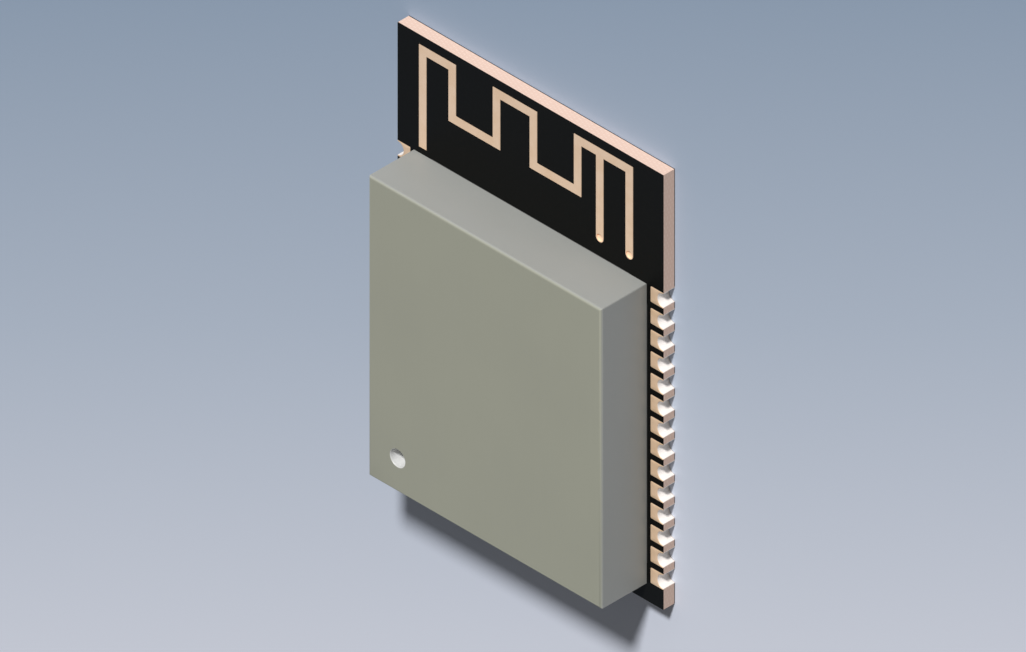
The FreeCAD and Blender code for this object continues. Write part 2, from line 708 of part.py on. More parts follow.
def make_flash_chip():
    """The flash memory: a moulded body with a bevelled first side, and eight gull-wing leads."""
    side = "flash_chip_width / 2"
    sloped = side + " - flash_chip_draft"
    low = "flash_chip_standoff"
    high = "(flash_chip_standoff + flash_chip_height)"
    middle = "(flash_chip_standoff + flash_chip_height / 2)"
    belt_low = middle + " - flash_lead_thickness / 2"
    belt_high = middle + " + flash_lead_thickness / 2"
    body = new_body("flash_chip_body")
    section = new_sketch(body, "section", plane="XZ_Plane")
    draw_outlines(section, [[
        ("-(%s)" % sloped, low), (sloped, low), (side, belt_low), (side, belt_high), (sloped, high),
        ("-(%s) + 2 * flash_chip_draft" % sloped, high),
        ("-(%s)" % sloped, high + " - 2 * flash_chip_draft"),
        ("-(%s)" % side, belt_high), ("-(%s)" % side, belt_low),
    ]])
    add_pad(body, "mould", section, "flash_chip_length", symmetric=True)
    cut_first_mark(body, "-(%s) + 2 * flash_chip_draft + first_mark_inset" % side,
                   "flash_chip_length / 2 - first_mark_inset", high)
    place_body(body, "flash_chip_x", FLASH_Y, "board_thickness")

    leads = new_body("flash_chip_leads")
    section = new_sketch(leads, "section", FLASH_ROW_HALF, plane="XZ_Plane")
    half_sheet = "flash_lead_thickness / 2"
    shoulder = side + " + flash_shoulder_length"
    heel = "flash_lead_span / 2 - flash_foot_length"
    tip = "flash_lead_span / 2"
    draw_outlines(section, [[
        (side, belt_low), ("%s - %s" % (shoulder, half_sheet), belt_low),
        ("%s - %s" % (heel, half_sheet), "0"), (tip, "0"), (tip, "flash_lead_thickness"),
        ("%s + %s" % (heel, half_sheet), "flash_lead_thickness"),
        ("%s + %s" % (shoulder, half_sheet), belt_high), (side, belt_high),
    ]])
    lead = add_pad(leads, "lead", section, "flash_lead_width", symmetric=True)
    along = row_step(leads, "Y_Axis", "flash_lead_pitch", "flash_leads_per_side")
    repeat(leads, "all_leads", [lead], along, mirror_step(leads, "YZ_Plane"))
    place_body(leads, "flash_chip_x", FLASH_Y, "board_thickness")


def make_crystal():
    """The quartz crystal's ceramic base and the metal lid welded on it."""
    base = new_body("crystal_base")
    outline = new_sketch(base, "outline")
    draw_centred(outline, "0", "0", "crystal_width", "crystal_length")
    add_pad(base, "block", outline, "crystal_base_height")
    place_body(base, "crystal_x", CRYSTAL_Y, "board_thickness")
    lid = new_body("crystal_lid")
    outline = new_sketch(lid, "outline", "crystal_base_height")
    draw_centred(outline, "0", "0", "crystal_width - 2 * crystal_lid_margin",
                 "crystal_length - 2 * crystal_lid_margin")
    add_pad(lid, "plate", outline, "crystal_lid_height")
    place_body(lid, "crystal_x", CRYSTAL_Y, "board_thickness")


def chip_row(x, y, axis, long_axis, count, pitch, height):
    """Describes a row of equal two-terminal parts by its first centre, its axis and its parts."""
    return {"x": x, "y": y, "axis": axis, "long_axis": long_axis, "count": count, "pitch": pitch,
            "height": height}


CHIP_ROWS = {
    "decoupling_capacitors": chip_row(
        "(radio_chip_x - (decoupling_count - 1) / 2 * decoupling_pitch)",
        "(%s - radio_chip_width / 2 - radio_land_toe - decoupling_gap - chip_part_length / 2)" % RADIO_Y,
        "X", "Y", "decoupling_count", "decoupling_pitch", "capacitor_height"),
    "load_capacitors": chip_row(
        "(crystal_x - (load_capacitor_count - 1) / 2 * load_capacitor_pitch)",
        "(%s - crystal_length / 2 - load_capacitor_gap - chip_part_length / 2)" % CRYSTAL_Y,
        "X", "Y", "load_capacitor_count", "load_capacitor_pitch", "capacitor_height"),
    "matching_inductors": chip_row(
        "(%s - matching_feed_offset - (matching_count - 1) * matching_pitch)" % FEED_X,
        "(%s - matching_inset)" % SHIELD_HIGH,
        "X", "X", "matching_count", "matching_pitch", "inductor_height"),
    "pull_up_resistors": chip_row(
        "(radio_chip_x + radio_chip_width / 2 + pull_up_gap + chip_part_length / 2)",
        "(%s - (pull_up_count - 1) / 2 * pull_up_pitch)" % RADIO_Y,
        "Y", "X", "pull_up_count", "pull_up_pitch", "resistor_height"),
}


def chip_ends(row, toe="0"):
    """Returns the two terminal ends of a row's first part, longer by a toe."""
    reach = "(chip_part_length / 2 + %s)" % toe
    inner = "(chip_part_length / 2 - chip_part_terminal)"
    half = "(chip_part_width / 2)"
    ends = []
    for near, far in (("-" + reach, "-" + inner), (inner, reach)):
        places = [("-" + half, half), (near, far)]
        if row["long_axis"] == "X":
            places.reverse()
        (left, right), (low, high) = places
        ends.append(box_corners("%s + %s" % (row["x"], left), "%s + %s" % (row["y"], low),
                                "%s + %s" % (row["x"], right), "%s + %s" % (row["y"], high)))
    return ends


def make_chip_row(label, row):
    """A row of equal chip parts: a ceramic core with a plated end on each side."""
    body = new_body(label)
    outline = new_sketch(body, "terminal_outline", "board_thickness")
    draw_outlines(outline, chip_ends(row))
    terminals = add_pad(body, "terminals", outline, row["height"])
    outline = new_sketch(body, "core_outline", "board_thickness + chip_part_plating")
    core = ["chip_part_length - chip_part_terminal", "chip_part_width - 2 * chip_part_plating"]
    if row["long_axis"] == "Y":
        core.reverse()
    draw_centred(outline, row["x"], row["y"], *core)
    core = add_pad(body, "core", outline, row["height"] + " - 2 * chip_part_plating")
    along = row_step(body, row["axis"] + "_Axis", row["pitch"], row["count"])
    repeat(body, "parts", [terminals, core], along)


def flash_lands():
    """Returns the two lands below the lowest pair of the flash memory's leads."""
    y = "%s - %s" % (FLASH_Y, FLASH_ROW_HALF)
    return [box_corners("flash_chip_x + " + near, "%s - %s" % (y, FLASH_LAND_HALF),
                        "flash_chip_x + " + far, "%s + %s" % (y, FLASH_LAND_HALF))
            for near, far in (("-" + FLASH_TOE, "-" + FLASH_HEEL), (FLASH_HEEL, FLASH_TOE))]


def crystal_lands():
    """Returns the lands below the four corners of the crystal."""
    lands = []
    for left, right in (("-crystal_width / 2", "-crystal_width / 2 + crystal_land_width"),
                        ("crystal_width / 2 - crystal_land_width", "crystal_width / 2")):
        for low, high in (("-crystal_length / 2", "-crystal_length / 2 + crystal_land_length"),
                          ("crystal_length / 2 - crystal_land_length", "crystal_length / 2")):
            lands.append(box_corners("crystal_x + " + left, "%s + %s" % (CRYSTAL_Y, low),
                                     "crystal_x + " + right, "%s + %s" % (CRYSTAL_Y, high)))
    return lands


def make_component_lands():
    """The copper lands that the parts inside the can are soldered to, but for the radio chip's."""
    body = new_body("component_lands")
    for label, row in CHIP_ROWS.items():
        outline = new_sketch(body, label + "_outline", TOP_LAYER)
        draw_outlines(outline, chip_ends(row, "chip_part_land_toe"))
        pair = add_pad(body, label + "_pair", outline, "copper_thickness")
        along = row_step(body, row["axis"] + "_Axis", row["pitch"], row["count"])
        repeat(body, label + "_row", [pair], along)
    outline = new_sketch(body, "flash_outline", TOP_LAYER)
    draw_outlines(outline, flash_lands())
    pair = add_pad(body, "flash_pair", outline, "copper_thickness")
    repeat(body, "flash_row", [pair], row_step(body, "Y_Axis", "flash_lead_pitch", "flash_leads_per_side"))
    outline = new_sketch(body, "crystal_outline", TOP_LAYER)
    draw_outlines(outline, crystal_lands())
    add_pad(body, "crystal_corners", outline, "copper_thickness")


def row_window(row):
    """Returns one mask window round the lands of a whole row of parts."""
    reach = "chip_part_length / 2 + chip_part_land_toe + mask_gap"
    half = "chip_part_width / 2 + mask_gap"
    x_reach, y_reach = (reach, half) if row["long_axis"] == "X" else (half, reach)
    span = " + (%s - 1) * %s" % (row["count"], row["pitch"])
    x_span, y_span = (span, "") if row["axis"] == "X" else ("", span)
    return box_corners("%s - (%s)" % (row["x"], x_reach), "%s - (%s)" % (row["y"], y_reach),
                       "%s + %s%s" % (row["x"], x_reach, x_span),
                       "%s + %s%s" % (row["y"], y_reach, y_span))


def cut_component_windows(body):
    """Opens the top mask at the lands inside the can, with one window for each row or chip."""
    outline = new_sketch(body, "component_windows", TOP_LAYER)
    draw_outlines(outline, [row_window(row) for row in CHIP_ROWS.values()])
    half_row = "(%s + %s + mask_gap)" % (FLASH_ROW_HALF, FLASH_LAND_HALF)
    for near, far in (("-" + FLASH_TOE, "-" + FLASH_HEEL), (FLASH_HEEL, FLASH_TOE)):
        draw_rectangle(outline, "flash_chip_x + %s - mask_gap" % near, "%s - %s" % (FLASH_Y, half_row),
                       "flash_chip_x + %s + mask_gap" % far, "%s + %s" % (FLASH_Y, half_row))
    draw_centred(outline, "crystal_x", CRYSTAL_Y, "crystal_width + 2 * mask_gap",
                 "crystal_length + 2 * mask_gap")
    around = "radio_chip_width + 2 * (radio_land_toe + mask_gap)"
    draw_centred(outline, "radio_chip_x", RADIO_Y, around, around)
    add_pocket(body, "component_openings", outline)


def check_and_write():
    """Stops at any failed feature or solid, and writes each piece to its own file."""
    doc.recompute()
    for item in doc.Objects:
        if "Invalid" in item.State or "Error" in item.State:
            raise RuntimeError("%s failed: %s" % (item.Label, item.State))
    shapes = {body.Label: body.Shape for body in pieces}
    for label, shape in shapes.items():
        if shape.isNull() or not shape.isValid() or not shape.Solids:
            raise RuntimeError("%s has no valid solid" % label)
    os.makedirs("parts", exist_ok=True)
    for label, shape in shapes.items():
        shape.exportStep("parts/%s.step" % label)
        print("%-24s %3d solids %10.4f mm3" % (label, len(shape.Solids), shape.Volume))


make_shield_can()
make_laminate()
make_mask_top()
make_mask_underside()
make_antenna()
make_leg_via("antenna_feed_via", FEED_X)
make_leg_via("antenna_ground_via", GROUND_X)
make_castellated_pads()
make_ground_pad()
make_thermal_vias()
make_shield_lands()
make_component_lands()
make_radio_chip()
make_flash_chip()
make_crystal()
for label, row in CHIP_ROWS.items():
    make_chip_row(label, row)
check_and_write()
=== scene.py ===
"""Looks of the castellated radio module: soft edges, finishes, light and camera.

Metres, in the CAD model's frame: +Z up, the origin at the centre of the underside and the
antenna at +Y.
"""

import math

import bmesh
import bpy
from mathutils import Matrix, Vector


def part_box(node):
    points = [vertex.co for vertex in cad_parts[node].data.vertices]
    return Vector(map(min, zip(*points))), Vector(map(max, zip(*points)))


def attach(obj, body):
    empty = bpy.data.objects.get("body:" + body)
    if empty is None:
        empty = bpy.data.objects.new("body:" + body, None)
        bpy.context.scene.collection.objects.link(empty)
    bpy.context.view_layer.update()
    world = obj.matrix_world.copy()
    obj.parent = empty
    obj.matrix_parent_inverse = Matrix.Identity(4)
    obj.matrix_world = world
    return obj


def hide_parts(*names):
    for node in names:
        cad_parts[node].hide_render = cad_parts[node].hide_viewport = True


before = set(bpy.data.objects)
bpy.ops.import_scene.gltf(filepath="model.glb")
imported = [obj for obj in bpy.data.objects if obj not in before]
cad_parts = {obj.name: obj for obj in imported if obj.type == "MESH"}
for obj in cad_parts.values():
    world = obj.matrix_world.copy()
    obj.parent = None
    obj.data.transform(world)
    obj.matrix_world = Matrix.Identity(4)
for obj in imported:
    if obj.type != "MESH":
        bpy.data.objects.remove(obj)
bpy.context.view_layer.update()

MM = 0.001
TINY = 1e-6
QUARTER_TURN = math.pi / 2

BOARD_LOW, BOARD_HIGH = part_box("board_laminate")
CAN_LOW, CAN_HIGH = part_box("shield_can")

# Edges that turn by more than this many degrees are corners
SHEET_CREASE = 40
COPPER_CREASE = 50

# Shield can
SHEET = 0.15 * MM
BEND_RADIUS = 0.15 * MM
BEND_STEPS = 6
SEAM_GAP = 0.05 * MM
EDGE_SOFTNESS = 0.012 * MM

# Drawn dimple, measured in from the can's left wall and its far wall
DIMPLE_INSET = 2.0 * MM
DIMPLE_CENTRE = Vector((CAN_LOW.x + DIMPLE_INSET, CAN_LOW.y + DIMPLE_INSET, CAN_HIGH.z))
DIMPLE_RADIUS = 0.5 * MM
DIMPLE_DEPTH = 0.8 * MM
DIMPLE_MOUTH = 0.04 * MM
DIMPLE_FLOOR_BEND = 0.15 * MM
DIMPLE_FRAME = 0.9 * MM
DIMPLE_SIDES = 48
DIMPLE_STEPS = 6

# Castellated pads
BOARD_MIDDLE = (BOARD_LOW.z + BOARD_HIGH.z) / 2
NOTCH_RADIUS = 0.4 * MM
COPPER = 0.035 * MM
LAND_CUTS = 12
MOUTH_SOFTNESS = 0.03 * MM
MOUTH_STEPS = 4
LAND_CORNER = 0.06 * MM
LAND_CORNER_STEPS = 3
LAND_SOFTNESS = 0.2 * COPPER

# Filled vias at the ends of the antenna's legs. Each ring of the dish sinks less than the last
VIA_SIDES = 32
VIA_RIM = 0.02 * MM
STEP_DEPTH = 0.08 * MM
DISH_STEPS = 5
DISH_FIRST_SINK = 0.04 * MM / DISH_STEPS


def only(piece):
    """Leaves one object selected and active."""
    bpy.ops.object.select_all(action="DESELECT")
    piece.select_set(True)
    bpy.context.view_layer.objects.active = piece


def start_piece(name, add, **shape):
    """Adds a primitive at its size and place, bakes that into its mesh and opens it for editing."""
    bpy.ops.object.select_all(action="DESELECT")
    add(**shape)
    piece = bpy.context.object
    piece.name = name
    piece.data.name = name
    bpy.ops.object.transform_apply(location=True, rotation=True, scale=True)
    bpy.ops.object.mode_set(mode="EDIT")
    return piece


def place_of(item):
    """Returns the middle of a corner, an edge or a face."""
    if isinstance(item, bmesh.types.BMVert):
        return item.co
    corners = [corner.co for corner in item.verts]
    return sum(corners, Vector()) / len(corners)


def pick(kind, test):
    """Selects, in edit mode, the corners, edges or faces that pass a test."""
    bpy.ops.mesh.select_mode(type=kind)
    bpy.ops.mesh.select_all(action="DESELECT")
    data = bpy.context.edit_object.data
    shape = bmesh.from_edit_mesh(data)
    items = {"VERT": shape.verts, "EDGE": shape.edges, "FACE": shape.faces}[kind]
    for item in items:
        if test(item):
            item.select_set(True)
    shape.select_flush_mode()
    bmesh.update_edit_mesh(data)


def near(first, second):
    """Says whether two lengths are the same."""
    return abs(first - second) < TINY


def at_height(item, height):
    """Says whether every corner of an edge or a face lies at one height."""
    return all(near(corner.co.z, height) for corner in item.verts)


def use_modifier(piece, kind, **settings):
    """Adds a modifier, sets it and applies it."""
    modifier = piece.modifiers.new(kind.title(), kind)
    for name, setting in settings.items():
        setattr(modifier, name, setting)
    bpy.ops.object.modifier_apply(modifier=modifier.name)


def soften(piece, width, angle, test=lambda edge: True):
    """Rounds a piece's sharp edges that pass a test and shades it."""
    bpy.ops.object.mode_set(mode="EDIT")
    pick("EDGE", lambda edge: edge.calc_face_angle(0) > math.radians(angle) and test(edge))
    bpy.ops.mesh.bevel(offset=width, segments=2, affect="EDGES")
    bpy.ops.object.mode_set(mode="OBJECT")
    shade(piece, angle)


def shade(piece, angle):
    """Shades curved faces smooth and keeps the broad faces beside them flat."""
    bpy.ops.object.shade_smooth_by_angle(angle=math.radians(angle))
    use_modifier(piece, "WEIGHTED_NORMAL", keep_sharp=True)


def finish_piece(piece, finish, slot, *nodes):
    """Gives a piece its finish, hangs it on the root body and hides the CAD nodes it stands for."""
    piece.data.materials.clear()
    piece.data.materials.append(finish)
    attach(piece, "root")
    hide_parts(*nodes)


# Shield can

def model_shield_can():
    """The can: a box with bent rims, a slit up each corner, a drawn dimple and thickness."""
    size = CAN_HIGH - CAN_LOW
    can = start_piece("shield_cover", bpy.ops.mesh.primitive_cube_add, size=1,
                      location=(CAN_LOW + CAN_HIGH) / 2, scale=size)
    pick("FACE", lambda face: face.normal.z < -0.5)
    bpy.ops.mesh.delete(type="FACE")
    pick("EDGE", lambda edge: at_height(edge, CAN_HIGH.z))
    bpy.ops.mesh.bevel(offset=BEND_RADIUS, segments=BEND_STEPS, affect="EDGES")
    open_corner_slits()
    frame_dimple()
    draw_dimple()
    face_upwards(CAN_HIGH.z)
    bpy.ops.object.mode_set(mode="OBJECT")
    use_modifier(can, "SOLIDIFY", thickness=SHEET, offset=-1, use_even_offset=True)
    soften(can, EDGE_SOFTNESS, SHEET_CREASE, lambda edge: at_height(edge, CAN_LOW.z))
    return can


def open_corner_slits():
    """Splits the can's four corners below the bends, as between folded walls."""
    def upright(edge):
        first, second = (corner.co for corner in edge.verts)
        along = abs(first.z - second.z)
        return along > SHEET and near(first.x, second.x) and near(first.y, second.y)

    pick("EDGE", upright)
    bpy.ops.mesh.bevel(offset=SEAM_GAP / 2, segments=1, affect="EDGES")
    pick("FACE", lambda face: face.calc_area() < SEAM_GAP * (CAN_HIGH.z - CAN_LOW.z)
         and abs(abs(face.normal.x) - abs(face.normal.y)) < 0.1 and abs(face.normal.z) < 0.1)
    bpy.ops.mesh.delete(type="FACE")


def frame_dimple():
    """Cuts a square out of the lid and draws its edge in to the dimple's round mouth."""
    for axis in (0, 1):
        for side in (-1, 1):
            direction = Vector((0, 0, 0))
            direction[axis] = 1
            pick("FACE", lambda face: at_height(face, CAN_HIGH.z))
            bpy.ops.mesh.bisect(plane_co=DIMPLE_CENTRE + side * DIMPLE_FRAME * direction,
                                plane_no=direction)

    def inside(item):
        offset = place_of(item) - DIMPLE_CENTRE
        return max(abs(offset.x), abs(offset.y), abs(offset.z)) < DIMPLE_FRAME + TINY

    pick("FACE", lambda face: inside(face) and at_height(face, CAN_HIGH.z))
    bpy.ops.mesh.delete(type="ONLY_FACE")
    pick("EDGE", inside)
    bpy.ops.mesh.subdivide(number_cuts=DIMPLE_SIDES // 4 - 1)
    draw_in_to_circle(DIMPLE_CENTRE, DIMPLE_RADIUS + 2 * DIMPLE_MOUTH)


def draw_in_to_circle(centre, radius):
    """Extrudes the picked closed outline into a circle about its middle."""
    bpy.ops.mesh.extrude_edges_move()
    bpy.ops.transform.tosphere(value=1)
    shape = bmesh.from_edit_mesh(bpy.context.edit_object.data)
    reached = max((corner.co - centre).length for corner in shape.verts if corner.select)
    share = radius / reached
    bpy.ops.transform.resize(value=(share, share, 1), center_override=centre)


def extrude_rings(centre, rings):
    """Extrudes the picked circle through rings, each a radius and a depth below the centre."""
    shape = bmesh.from_edit_mesh(bpy.context.edit_object.data)
    radius = max((corner.co - centre).length for corner in shape.verts if corner.select)
    depth = 0
    for next_radius, next_depth in rings:
        bpy.ops.mesh.extrude_edges_move(
            TRANSFORM_OT_translate={"value": (0, 0, depth - next_depth)})
        share = next_radius / radius
        bpy.ops.transform.resize(value=(share, share, 1), center_override=centre)
        radius, depth = next_radius, next_depth


def mouth_rings(radius, softness, steps):
    """Returns the rings of a rounded mouth, from a flat face down into a hole."""
    angles = [QUARTER_TURN * step / steps for step in range(1, steps + 1)]
    return [(radius + softness * (1 - math.sin(angle)), softness * (1 - math.cos(angle)))
            for angle in angles]


def draw_dimple():
    """Draws the dimple's mouth, wall and floor down from the lid, ring by ring.

    The first ring is flat, so that the lid shades flat up to the mouth.
    """
    rings = [(DIMPLE_RADIUS + DIMPLE_MOUTH, 0)]
    rings += mouth_rings(DIMPLE_RADIUS, DIMPLE_MOUTH, DIMPLE_STEPS)
    for step in range(DIMPLE_STEPS + 1):
        angle = QUARTER_TURN * step / DIMPLE_STEPS
        rings.append((DIMPLE_RADIUS - DIMPLE_FLOOR_BEND * (1 - math.cos(angle)),
                      DIMPLE_DEPTH - DIMPLE_FLOOR_BEND * (1 - math.sin(angle))))
    extrude_rings(DIMPLE_CENTRE, rings)
    bpy.ops.mesh.edge_face_add()
    bpy.ops.mesh.inset(thickness=DIMPLE_RADIUS / 2)


def face_upwards(height):
    """Turns the open sheet's faces so that those at one height look up."""
    bpy.ops.mesh.select_all(action="SELECT")
    bpy.ops.mesh.normals_make_consistent(inside=False)
    shape = bmesh.from_edit_mesh(bpy.context.edit_object.data)
    if sum(face.normal.z for face in shape.faces if at_height(face, height)) < 0:
        bpy.ops.mesh.flip_normals()


# Castellated pads

def model_pad():
    """One plated half hole with a land on each face, its board edge at x = 0 and the board at -x.

    It starts as the upper half of a whole plated hole, about the middle of the board's thickness.
    """
    low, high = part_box("pad_38")
    length = high.x - low.x
    half_width = (high.y - low.y) / 2
    half_height = (high.z - low.z) / 2
    centre = Vector((0, 0, half_height))
    pad = start_piece("pad_pattern", bpy.ops.mesh.primitive_plane_add, size=1, location=centre)
    bpy.ops.transform.resize(value=(2 * length, 2 * half_width, 1), center_override=centre)
    pick("VERT", lambda corner: True)
    bpy.ops.mesh.bevel(offset=LAND_CORNER, segments=LAND_CORNER_STEPS, affect="VERTICES")
    pick("FACE", lambda face: True)
    bpy.ops.mesh.delete(type="ONLY_FACE")
    pick("EDGE", lambda edge: all(near(abs(corner.co.y), half_width) for corner in edge.verts))
    bpy.ops.mesh.subdivide(number_cuts=2 * LAND_CUTS - 1)
    pick("EDGE", lambda edge: all(near(abs(corner.co.x), length) for corner in edge.verts))
    bpy.ops.mesh.subdivide(number_cuts=LAND_CUTS - 1)
    bpy.ops.mesh.select_all(action="SELECT")
    draw_in_to_circle(centre, NOTCH_RADIUS + MOUTH_SOFTNESS)
    extrude_rings(centre, mouth_rings(NOTCH_RADIUS, MOUTH_SOFTNESS, MOUTH_STEPS)
                  + [(NOTCH_RADIUS, half_height)])
    pick("VERT", lambda corner: corner.co.x > TINY)
    bpy.ops.mesh.delete(type="VERT")
    face_upwards(half_height)
    bpy.ops.object.mode_set(mode="OBJECT")
    use_modifier(pad, "MIRROR", use_axis=(False, False, True), merge_threshold=TINY)
    pad.location.z = half_height
    bpy.ops.object.transform_apply(location=True, rotation=True, scale=True)
    use_modifier(pad, "SOLIDIFY", thickness=COPPER, offset=-1, use_even_offset=True)
    soften(pad, LAND_SOFTNESS, COPPER_CREASE)
    return pad


def place_pads(pattern, finish):
    """Copies the pad to every castellation, each copy with its own mesh."""
    for name in sorted(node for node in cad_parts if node.startswith("pad_")):
        low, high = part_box(name)
        middle = (low + high) / 2
        if near(high.x, BOARD_HIGH.x):
            turn, edge = 0, Vector((BOARD_HIGH.x, middle.y, 0))
        elif near(low.x, BOARD_LOW.x):
            turn, edge = 2 * QUARTER_TURN, Vector((BOARD_LOW.x, middle.y, 0))
        else:
            turn, edge = -QUARTER_TURN, Vector((middle.x, BOARD_LOW.y, 0))
        only(pattern)
        bpy.ops.object.duplicate()
        pad = bpy.context.object
        pad.name = "castellation_" + name[-2:]
        pad.location = edge
        pad.rotation_euler.z = turn
        bpy.ops.object.transform_apply(location=True, rotation=True, scale=True)
        finish_piece(pad, finish, "pad_metal", name)
    bpy.data.objects.remove(pattern)


# Antenna vias

def model_leg_via(node):
    """A filled via, whose fill ends in a shallow dish a step below its narrow rim."""
    low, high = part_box(node)
    radius = (high.x - low.x) / 2
    via = start_piece(node.replace("via", "plug"), bpy.ops.mesh.primitive_cylinder_add,
                      vertices=VIA_SIDES, radius=radius, depth=high.z - low.z,
                      location=(low + high) / 2)
    pick("FACE", lambda face: at_height(face, high.z))
    bpy.ops.mesh.inset(thickness=VIA_RIM)
    bpy.ops.mesh.extrude_region_move(TRANSFORM_OT_translate={"value": (0, 0, -STEP_DEPTH)})
    for step in range(DISH_STEPS):
        bpy.ops.mesh.inset(thickness=(radius - VIA_RIM) / (DISH_STEPS + 1))
        sink = DISH_FIRST_SINK * (1 - step / DISH_STEPS)
        bpy.ops.transform.translate(value=(0, 0, -sink))
    bpy.ops.object.mode_set(mode="OBJECT")
    shade(via, COPPER_CREASE)
    return via


# Finishes

class Amount:
    """A number that varies over a surface. Sums on it add Math nodes."""

    def __init__(self, maker, socket):
        self.maker = maker
        self.socket = socket

    def maths(self, operation, *terms):
        node = self.maker.node("ShaderNodeMath", {"operation": operation}, dict(enumerate(terms)))
        return Amount(self.maker, node.outputs[0])

    def __add__(self, other):
        return self.maths("ADD", self, other)

    def __radd__(self, other):
        return self.maths("ADD", other, self)

    def __sub__(self, other):
        return self.maths("SUBTRACT", self, other)

    def __rsub__(self, other):
        return self.maths("SUBTRACT", other, self)

    def __mul__(self, other):
        return self.maths("MULTIPLY", self, other)

    def __rmul__(self, other):
        return self.maths("MULTIPLY", other, self)

    def __truediv__(self, other):
        return self.maths("DIVIDE", self, other)

    def __abs__(self):
        return self.maths("ABSOLUTE", self)

    def whole(self):
        """Returns the nearest whole number."""
        return self.maths("ROUND", self)

    def ramp(self, low, high, curve="SMOOTHSTEP"):
        """Rises from 0 at low to 1 at high."""
        node = self.maker.node("ShaderNodeMapRange", {"interpolation_type": curve},
                               {"Value": self, "From Min": low, "From Max": high})
        return Amount(self.maker, node.outputs[0])


# The sockets of a Mix node that mixes colours
MIX_SHARE, MIX_FIRST, MIX_SECOND, MIX_RESULT = 0, 6, 7, 2


class Maker:
    """Builds the nodes of a material or of the world."""

    def __init__(self, owner):
        self.owner = owner
        owner.use_nodes = True
        self.tree = owner.node_tree
        self.tree.nodes.clear()

    def node(self, kind, settings=None, sockets=None):
        """Adds any node: its settings first, then the values or links of its sockets."""
        node = self.tree.nodes.new(kind)
        for name, setting in (settings or {}).items():
            setattr(node, name, setting)
        for name, given in (sockets or {}).items():
            if isinstance(given, Amount):
                given = given.socket
            if isinstance(given, bpy.types.NodeSocket):
                self.tree.links.new(given, node.inputs[name])
            else:
                node.inputs[name].default_value = given
        return node

    def mix(self, share, first, second):
        """Mixes two colours."""
        node = self.node("ShaderNodeMix", {"data_type": "RGBA"},
                         {MIX_SHARE: share, MIX_FIRST: first, MIX_SECOND: second})
        return node.outputs[MIX_RESULT]

    def shown(self):
        """Returns 1 for the rays that show a backdrop: straight, mirrored or through glass."""
        rays = self.node("ShaderNodeLightPath").outputs
        straight = Amount(self, rays["Is Camera Ray"])
        mirrored = Amount(self, rays["Is Glossy Ray"])
        through = Amount(self, rays["Is Transmission Ray"])
        return straight.maths("MAXIMUM", straight, mirrored.maths("MAXIMUM", mirrored, through))


class Finish(Maker):
    """A procedural finish of one material, on the piece's own coordinates."""

    def __init__(self, name):
        super().__init__(bpy.data.materials.new(name))
        self.place = self.node("ShaderNodeTexCoord").outputs["Object"]
        parts = self.node("ShaderNodeSeparateXYZ", {}, {0: self.place})
        self.x, self.y, self.z = (Amount(self, parts.outputs[axis]) for axis in "XYZ")

    def scaled(self, x, y, z):
        """Returns the coordinates, each multiplied by a number."""
        node = self.node("ShaderNodeVectorMath", {"operation": "MULTIPLY"},
                         {0: self.place, 1: (x, y, z)})
        return node.outputs[0]

    def noise(self, x, y, z, detail=2.0):
        """Returns noise with so many grains in a millimetre along each axis, about 0.5."""
        node = self.node("ShaderNodeTexNoise", {},
                         {"Vector": self.scaled(x / MM, y / MM, z / MM), "Scale": 1.0,
                          "Detail": detail})
        return Amount(self, node.outputs[0])

    def off_axis(self, centre):
        """Returns how far a place lies from the upright axis through a point."""
        node = self.node("ShaderNodeVectorMath", {"operation": "DISTANCE"},
                         {0: self.scaled(1, 1, 0), 1: (centre.x, centre.y, 0)})
        return Amount(self, node.outputs["Value"])

    def bump(self, height, distance):
        """Turns a height into a normal. The distance is the depth of a height of 1."""
        return self.node("ShaderNodeBump", {}, {"Height": height, "Distance": distance}).outputs[0]

    def surface(self, **sockets):
        """Closes the finish with a surface shader."""
        named = {name.replace("_", " "): given for name, given in sockets.items()}
        shader = self.node("ShaderNodeBsdfPrincipled", {}, named)
        self.node("ShaderNodeOutputMaterial", {}, {"Surface": shader.outputs[0]})
        return self.owner


def colour(red, green, blue):
    """Turns a screen colour of 0 to 255 into the linear colour that a shader takes."""
    def linear(level):
        level /= 255
        return level / 12.92 if level <= 0.04045 else ((level + 0.055) / 1.055) ** 2.4
    return (linear(red), linear(green), linear(blue), 1.0)


# Screen colours of the can's sheet
WALL_TONE = (163, 164, 160)
# Painted tint: the lid's olive tone against the walls' grey stands for the light on the top face
LID_PAINTED_TINT = (163, 163, 145)
WORN_TONE = (140, 140, 130)
ROLLED_TONE = (184, 184, 176)
# Painted highlight: the dimple's drawn wall is painted near white
DIMPLE_HIGHLIGHT_TONE = (218, 218, 216)


